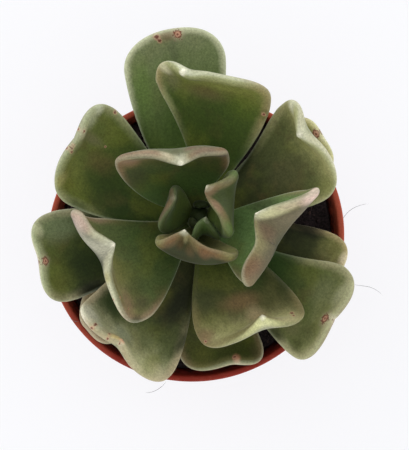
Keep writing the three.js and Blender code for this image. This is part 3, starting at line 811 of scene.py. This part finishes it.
LOOKS = dict(
    leaf_outer_1=dict(
        deep=(28, 32, 16), green=(52, 58, 28), light=(150, 148, 94), lip=(156, 142, 98),
        lobe=(150, 134, 100), lip_width=2.6, side_share=0,
        # Painted shadow: the first, dark patch on the left side is the shade of the folded leaf_upper_3 above
        # it.
        on_face=[(34, 11, 12, 5, (20, 22, 10), 0.9), (52, 5, 2.5, 4, (202, 190, 158), 0.8)],
    ),
    leaf_outer_2=dict(
        deep=(70, 80, 40), green=(90, 98, 44), light=(140, 144, 66), lip=(206, 198, 148), tip_share=0.2,
        lip_width=3.2,
        on_face=[(47, -4, 5, 6, (128, 132, 52), 0.6)],
        marks=[("ring", 50.3, 2.7, 1.5)],
    ),
    leaf_outer_3=dict(
        deep=(74, 94, 42), green=(96, 110, 66), light=(118, 124, 90), lip=(182, 184, 150), lip_width=2.8,
        side_share=0.4, brown_share=0, lobe_share=0, tip_share=0, yellow_share=0.15, band=(160, 160, 132),
        on_face=[
            (46, 14, 16, 5, (92, 116, 54), 0.6), (34, 2, 14, 8, (56, 80, 28), 0.5),
            (64.5, 2, 3, 7, (126, 102, 78), 0.6), (58, 1, 9, 3, (84, 92, 64), 0.5),
        ],
        marks=[("ring", 64.6, -1.2, 1.6), ("scar", 64.6, 6.3, 0.9), ("scar", 63, 5.6, 0.7)],
    ),
    leaf_outer_4=dict(
        # Painted shadow: the dark deep colour, and the dark patches at 40 and 41 along on the left side, are
        # the shade of the leaves that lie over this one.
        deep=(28, 36, 10), green=(48, 58, 20), light=(98, 108, 54), lip=(158, 162, 124), tip_share=0,
        on_face=[
            (50, -9, 14, 8, (112, 124, 88), 0.7), (40, 8, 15, 13, (28, 40, 8), 0.85),
            (54, 16, 5, 4, (112, 110, 76), 0.5), (53, 12, 6, 7, (86, 88, 38), 0.5),
            (41, 16, 10, 5, (24, 28, 10), 1), (56, -9.5, 3, 4, (178, 180, 142), 0.7),
        ],
        marks=[("ring", 57.6, 1.7, 1.5)],
    ),
    leaf_outer_5=dict(
        lip=(176, 152, 126), lobe=(132, 120, 86), band=(110, 88, 64), tip_share=0,
        marks=[("scar", 54.6, 1, 0.7)],
    ),
    leaf_outer_6=dict(
        # Painted shadow: light and lip are darker than green, where leaf_upper_1 shades the leaf's front.
        deep=(70, 72, 42), green=(74, 78, 40), light=(62, 70, 28), lip=(104, 100, 62), band=(140, 128, 98),
        tip_share=0.1,
        on_face=[
            (48, -9, 8, 6, (96, 98, 44), 0.5), (52.6, 3.2, 3, 2, (184, 128, 98), 0.8),
            (50, 10, 6, 3, (72, 70, 40), 0.7),
        ],
        marks=[("scar", 52, 2.6, 0.6)],
    ),
    leaf_middle_1=dict(
        deep=(32, 48, 16), green=(80, 90, 44), light=(136, 138, 94), lip=(158, 156, 118),
        band=(138, 132, 98), lobe_share=0.1, tip_share=0.2, side_share=0.12,
        on_face=[
            (30, 3, 14, 12, (40, 62, 20), 0.8), (47, -11, 7, 6, (112, 108, 74), 0.5),
            (50, 6, 7, 9, (112, 116, 80), 0.5), (54, -9, 5, 6, (76, 80, 44), 0.6),
            (57.5, 10, 5, 9, (162, 162, 126), 0.7), (53, -14.5, 4, 4, (68, 72, 36), 0.6),
            # Painted shadow: this patch darkens the right edge, where leaf_upper_1 overlaps and shades it.
            (44, -16.5, 6, 3, (50, 56, 26), 0.9),
        ],
        marks=[("ring", 58.4, -0.9, 1.9)],
    ),
    leaf_middle_2=dict(
        deep=(46, 52, 24), green=(78, 84, 44), light=(168, 166, 110), lip=(154, 154, 106),
        band=(186, 184, 154), back=(140, 142, 110), lobe_share=0.15, side_share=0.2, tip_share=0.6,
        on_face=[
            (34, -6, 12, 9, (72, 70, 42), 0.5), (44, -19, 7, 6, (112, 116, 62), 0.6),
            # Painted highlight: this pale patch stands in for the sheen at the bend of the fold on the left.
            (50, 12, 3, 5, (206, 206, 180), 0.7),
        ],
    ),
    leaf_middle_3=dict(
        deep=(46, 62, 18), green=(58, 74, 22), light=(118, 122, 62), lip=(150, 152, 106),
        band=(176, 178, 148), lobe=(134, 112, 76), lobe_share=0.7, brown_share=0.2, side_share=0.12,
        on_face=[
            (42, -12, 7, 9, (70, 86, 20), 0.6), (43.5, 2, 5, 12, (98, 82, 54), 0.45),
            (33, 2, 9, 14, (46, 62, 14), 0.6), (46, 14, 8, 5, (104, 102, 74), 0.5),
            (49, -2, 4, 12, (124, 128, 66), 0.5), (41, -20, 4, 3, (84, 84, 36), 0.8),
            (48.5, 16.5, 3, 4, (188, 184, 150), 0.7),
        ],
        marks=[("scar", 41.6, -19.4, 0.6)],
    ),
    leaf_middle_4=dict(
        deep=(42, 58, 20), green=(68, 80, 28), light=(106, 112, 60), lip=(136, 140, 98),
        band=(148, 150, 120), lobe_share=0.1, tip_share=0, yellow_share=0.4, side_share=0.2,
        on_face=[
            (33, 7, 12, 11, (40, 54, 14), 0.8), (47, -5, 9, 3, (106, 100, 74), 0.5),
            (39, 1, 9, 6, (80, 68, 36), 0.5), (46, 14, 8, 5, (88, 94, 28), 0.6),
            # Painted highlight: the whitish patch at 53.6 along, beside the point, and in part the pale one at
            # 52 along on the right lobe.
            (49, 13.5, 3, 5, (142, 138, 84), 0.7), (52, -11, 5, 6, (168, 172, 140), 0.6),
            (53.6, -5, 3, 4, (196, 190, 160), 0.5), (38, 18.5, 8, 3, (60, 70, 34), 0.8),
            (50, -16, 3, 4, (184, 188, 160), 0.7),
        ],
        marks=[
            ("scar", 53.3, -5.6, 0.5), ("scar", 43.2, -17.3, 0.6), ("scar", 54.3, 0.4, 0.5),
            ("scar", 54, 1.6, 0.4), ("scar", 53.4, 2.6, 0.5), ("scar", 40, -5, 0.3),
        ],
    ),
    leaf_middle_5=dict(
        deep=(50, 54, 26), green=(74, 82, 44), light=(192, 190, 150), lip=(166, 160, 126),
        band=(158, 148, 116), side_share=0, tip_share=0.15,
        on_face=[
            (49, 4, 5, 6, (132, 140, 116), 0.5), (42.5, -6, 7, 9, (36, 50, 18), 0.85),
            (54.5, -11, 6, 8, (204, 202, 176), 0.9), (50, 21, 4, 5, (180, 172, 138), 0.6),
            (44, 12, 6, 5, (80, 88, 52), 0.6), (56.6, 3, 4, 4, (206, 182, 114), 0.6),
            # Painted shadow: the dark patches at 26 and 36 along on the left side are the shade next to
            # leaf_upper_1.
            (50, 18, 8, 6, (120, 124, 62), 0.5), (26, 13, 17, 6, (30, 34, 16), 0.9),
            (56.8, 5.1, 1.8, 1.6, (214, 158, 120), 0.8), (36, 22.5, 8, 3, (50, 54, 30), 0.9),
            (55, -5, 3, 4, (186, 186, 154), 0.7),
        ],
        on_back=[(54, -12, 6, 8, (204, 200, 178), 0.9)],
        marks=[("scar", 56.6, 5.2, 0.3), ("scar", 55.8, 0.4, 0.4), ("scar", 56.4, -5.8, 0.6)],
    ),
    leaf_upper_1=dict(
        deep=(38, 50, 18), green=(78, 78, 42), light=(170, 166, 118), lip=(106, 100, 62),
        band=(132, 132, 92), back=(136, 136, 108), lobe=(106, 90, 58), side_share=0, tip_share=0.6,
        on_face=[
            (22, 7, 11, 8, (44, 64, 26), 0.7), (32, 1, 5, 10, (118, 92, 62), 0.6),
            (39, 4, 7, 5, (148, 132, 98), 0.8), (46, 12, 5, 8, (182, 176, 132), 0.6),
            (28, -11, 10, 5, (56, 62, 34), 0.6), (42, -15, 5, 4, (112, 80, 58), 0.5),
            (30, 17, 9, 4, (40, 50, 20), 0.8),
        ],
        on_back=[(49, 4, 3, 12, (200, 200, 146), 0.8)],
        marks=[("scar", 42.6, 15.6, 0.7), ("scar", 45, 15.6, 0.5), ("scar", 44, -16, 0.4)],
    ),
    leaf_upper_2=dict(
        deep=(52, 68, 30), green=(76, 88, 46), light=(124, 120, 78), lip=(92, 84, 48), band=(180, 178, 148),
        back=(40, 46, 20), lobe=(138, 112, 92), lobe_share=0.8,
        on_face=[
            (32, 12, 6, 6, (60, 72, 38), 0.5), (24, -4, 8, 5, (60, 80, 34), 0.5),
            (40, 15, 5, 7, (122, 98, 76), 0.6), (34, 18, 6, 4, (70, 66, 42), 0.7),
            (39, -3, 4, 5, (146, 142, 84), 0.7), (42, 6, 4, 7, (120, 112, 66), 0.5),
            (39.5, 22.5, 5, 4, (66, 64, 40), 0.9),
        ],
        on_back=[
            (47, -17, 6, 6, (188, 166, 152), 0.7), (44.5, -8, 6, 11, (158, 156, 136), 0.9),
            (45, 4.5, 3, 3, (150, 142, 92), 0.7),
        ],
        marks=[("scar", 44, 12, 0.3), ("scar", 41, 17, 0.3)],
    ),
    leaf_upper_3=dict(
        # Painted light: deep is as bright as green, standing in for light from above in the shaded root.
        deep=(104, 134, 78), green=(106, 134, 78), light=(104, 120, 72), lip=(92, 92, 56),
        band=(128, 122, 86), band_width=6, back=(88, 82, 60), lobe=(122, 98, 78), lobe_share=0.5,
        glow_width=5.5, tip_share=1, tip_width=2.2,
        on_face=[(20, 12, 13, 6, (72, 82, 52), 0.8), (41, 21, 5, 4, (200, 176, 162), 0.9)],
        on_back=[
            (43.6, 10.5, 3, 6, (182, 180, 138), 0.8), (43, 20, 7, 5, (204, 180, 166), 0.9),
            (44.5, 15, 3, 4, (176, 164, 136), 0.7), (42, -10, 6, 7, (106, 80, 58), 0.8),
            (40, 3, 4, 5, (106, 86, 68), 0.6), (38, 12, 4, 7, (106, 98, 76), 0.6),
            (34, 0, 4, 9, (58, 62, 42), 0.8), (37, -14, 4, 5, (100, 88, 62), 0.6),
        ],
    ),
    leaf_upper_4=dict(
        deep=(64, 86, 38), green=(56, 68, 30), light=(94, 86, 50), lip=(82, 72, 44), band=(142, 132, 100),
        arm=(130, 106, 86), arm_share=0.8, back=(100, 104, 78), lobe=(116, 92, 68), lobe_share=0.9,
        on_face=[(22, 16, 6, 6, (50, 56, 30), 0.8), (31, 16, 6, 5, (132, 104, 80), 0.7)],
        on_back=[
            (37, -9, 4, 6, (114, 98, 80), 0.8), (37, 9, 3, 6, (150, 130, 106), 0.6),
            (34, -5, 2, 4, (118, 88, 76), 0.6), (34, 0.6, 3, 2.4, (92, 92, 68), 0.7),
            (36.6, 4.4, 2, 3, (186, 178, 150), 0.7),
        ],
    ),
    leaf_heart_1=dict(
        # Painted light: deep is brighter than green, standing in for light from above in the heart's hollow.
        deep=(84, 108, 48), green=(76, 94, 42), light=(80, 98, 44), lip=(96, 92, 60), band=(114, 98, 68),
        arm=(108, 96, 62), arm_share=0.8, back=(58, 68, 34), lobe=(72, 92, 40), lobe_share=1,
        glow_width=2.4, band_width=2.6, side_share=0.05, tip_width=0.9, tip_share=0.3,
        on_back=[
            (27.5, 9, 2.4, 4, (122, 96, 74), 0.6), (26.5, 14.5, 3, 3, (104, 104, 76), 0.6),
            (27, 3.5, 2, 3, (132, 104, 84), 0.6), (27, -3, 3, 4, (76, 96, 44), 0.8),
        ],
    ),
    leaf_heart_2=dict(
        # Painted light: deep is brighter than green, standing in for light from above in the heart's hollow.
        deep=(84, 108, 52), green=(74, 96, 46), light=(74, 94, 46), lip=(74, 82, 48), band=(86, 76, 50),
        back=(52, 60, 32), lobe=(64, 78, 40), lobe_share=1, glow_width=2.4, tip_share=0.05, side_share=0.05,
        on_face=[(17, -4, 4, 2, (84, 88, 58), 0.5)],
        on_back=[(23.5, -1, 2, 3, (108, 88, 62), 0.6), (22, 7, 3, 3, (84, 100, 58), 0.7)],
    ),
    leaf_heart_3=dict(
        deep=(110, 114, 66), green=(122, 118, 76), light=(132, 118, 78), lip=(116, 96, 62),
        band=(110, 100, 64), arm=(108, 82, 54), arm_share=0.9, back=(40, 44, 16), lobe=(110, 106, 58),
        lobe_share=1, band_width=3.8, glow_width=3, tip_share=0.7, side_share=0.1, tip_width=1.5,
        on_face=[(20, 13, 5, 3, (116, 118, 72), 0.8)],
        on_back=[
            (30.4, -5.4, 3, 2.6, (64, 50, 22), 0.8), (29.5, -1, 3, 3, (78, 62, 34), 0.6),
            (32, -3.6, 2, 1.6, (134, 126, 88), 0.6), (26, 6, 6, 5, (48, 58, 26), 0.5),
            (31, 4, 3, 3, (110, 78, 50), 0.5),
        ],
    ),
    leaf_heart_4=dict(
        deep=(56, 78, 32), green=(60, 84, 36), light=(66, 88, 42), lip=(72, 90, 46), band=(66, 82, 40),
        back=(58, 80, 36), lobe_share=0, tip_share=0.2, tip_width=1, glow_width=2, side_share=0.05,
    ),
    leaf_heart_5=dict(
        deep=(52, 72, 32), green=(52, 72, 34), light=(50, 66, 32), lip=(46, 58, 28), band=(40, 50, 22),
        back=(40, 50, 22), lobe_share=0, tip_share=0, side_share=0,
    ),
    bud=dict(
        deep=(60, 74, 38), green=(60, 74, 38), light=(58, 66, 36), lip=(52, 60, 30), band=(46, 54, 26),
        back=(46, 54, 24), lobe_share=0, tip_share=0, side_share=0,
    ),
)


def leaf_paint(name, leaf, look, tip):
    """The finish of one leaf, from its own flat coordinates and its tip's place among them. The face goes
    from deep to green to light along the leaf, in clouds. The front's margin, its two corners and its point
    each fade in over a few millimetres, on the face and on the back. A thin waxy line follows the margin."""
    paint = new_paint(name)
    along, aside, inset, upper = [paint.attribute(key) for key in ("along", "aside", "inset", "upper")]
    flat = paint.node("ShaderNodeCombineXYZ", {}, {"X": along, "Y": aside, "Z": BLADE["thickness"] * upper})
    drawn = paint.node("ShaderNodeVectorMath", {"operation": "MULTIPLY"}, {0: flat, 1: (0.12, 1.0, 1.0)})
    shift = 37.0 * (len(bpy.data.materials) % 11)
    clouds = paint.noise(flat, 0.07, detail=2, shift=shift)
    patches = paint.noise(flat, 0.11, detail=3, shift=shift + 9)
    mottle = paint.noise(flat, 0.32, detail=4, rough=0.6, shift=shift)
    fine = paint.noise(flat, 1.3, detail=3, rough=0.75, shift=shift)
    veins = paint.noise(drawn, 0.9, detail=3, rough=0.6, shift=shift)
    tint = {key: srgb(*value) for key, value in TINTS.items()}
    own = ("deep", "green", "light", "lip", "band", "arm", "back", "lobe")
    tint |= {key: srgb(*look[key]) for key in own}

    def away(place, beside_axis, long=1.0, wide=1.0):
        """The distance from a place on the flat leaf, as a share of a radius each way."""
        u, v = (along - place) / long, (aside - beside_axis) / wide
        return (u * u + v * v) ** 0.5

    def patched(under, spots):
        """A colour with soft-edged patches of other colours on it."""
        for *place, spot, strength in spots:
            near = (away(*place) * (0.75 + 0.5 * mottle)).between(1, 0.15)
            under = paint.mix(near * strength, under, srgb(*spot))
        return under

    share = along / leaf["reach"]
    ahead = share.between(0.55, 1.0)
    share = share + 0.12 * (mottle - 0.5) + 0.3 * (clouds - 0.5)
    face = paint.mix(share.between(0.5, 1.02), tint["deep"], tint["green"])
    face = paint.mix(share.between(0.9, 1.35), face, tint["light"])
    face = paint.mix(patches.between(0.5, 0.68) * look["brown_share"], face, tint["brown"])
    face = paint.mix(clouds.between(0.5, 0.66) * look["yellow_share"], face, tint["yellow"])

    point, (left, right) = leaf["point"][0], leaf["half"]
    beside = ((aside - point) / (left - point)).most((point - aside) / (right + point))
    lobe = beside.between(0.55, 0.95) * ahead * look["lobe_share"]
    uneven = 0.7 + 0.6 * mottle
    # Partly painted highlight: the lip is the face's own pale front margin, and also the light caught where
    # that rounded margin turns away.
    lip = (1 - inset / (look["lip_width"] * uneven)).between(0, 1) * ahead
    lip_colour = paint.mix(lobe, tint["lip"], tint["lobe"])
    face = paint.mix(lip * look["lip_share"], face, lip_colour)

    # Partly painted highlight: the band is the back's own pale margin, and also the light caught where the fold
    # turns to the side.
    band = (1 - inset / (look["band_width"] * uneven)).between(0, 1) * ahead
    band_colour = paint.mix(beside.between(0.1, 0.45) * look["arm_share"], tint["band"], tint["arm"])
    band_colour = paint.mix(lobe, band_colour, tint["lobe"])
    back = paint.mix(band, tint["back"], band_colour)
    from_tip = away(*tip)
    # Partly painted highlight: the back is painted paler round the tip, where the point catches the light.
    back = paint.mix(from_tip.between(look["glow_width"], 1.5) * look["tip_share"] * 0.6, back, tint["glow"])
    back = patched(back, look["on_back"])
    face = patched(face, look["on_face"])
    colour = paint.mix(upper.between(0.25, 0.6), back, face)
    # Partly painted highlight: a small pale spot on the point, which is also the point's own pale colour.
    pale = from_tip.between(look["tip_width"], 0.3 * look["tip_width"])
    colour = paint.mix(pale * look["tip_share"], colour, tint["tip"])

    ragged = 0.6 * mottle + 2.2 * fine - 0.4
    for kind, place, beside_axis, size in look["marks"]:
        off = away(place, beside_axis, size, size) * ragged
        for key, start, full, strength in COATS[kind]:
            colour = paint.mix(off.between(start, full) * strength, colour, tint[key])

    colour = paint.mix(inset.between(0.9, 0.0) * look["side_share"], colour, tint["wax"])
    streaks = (veins - 0.5) * (1 - ahead)
    light = 1.05 + 0.24 * (mottle - 0.5) + 1.4 * (fine - 0.5) + 0.5 * streaks
    colour = paint.node("ShaderNodeVectorMath", {"operation": "SCALE"}, {0: colour, "Scale": light})
    paint.shader(
        {
            "Base Color": colour,
            "Roughness": 0.42 + 0.2 * fine,
            "Specular IOR Level": 0.15,
            "Sheen Weight": 0.1,
            "Sheen Roughness": 0.4,
            "Normal": paint.bump(fine + 0.5 * streaks, 0.06, 0.6),
        }
    )
    return paint


for name, own in LEAVES.items():
    leaf = PLAIN_LEAF | own
    points, values, tip = blade(leaf)
    paint = leaf_paint(name, leaf, PLAIN_LOOK | LOOKS[name], tip)
    hidden = ["stem"] if name == "bud" else [name]
    faces = grid_faces(points)
    mesh_piece(name + "_blade", points, faces, paint, "leaf_flesh", hidden, values, merge=FINE_MERGE)
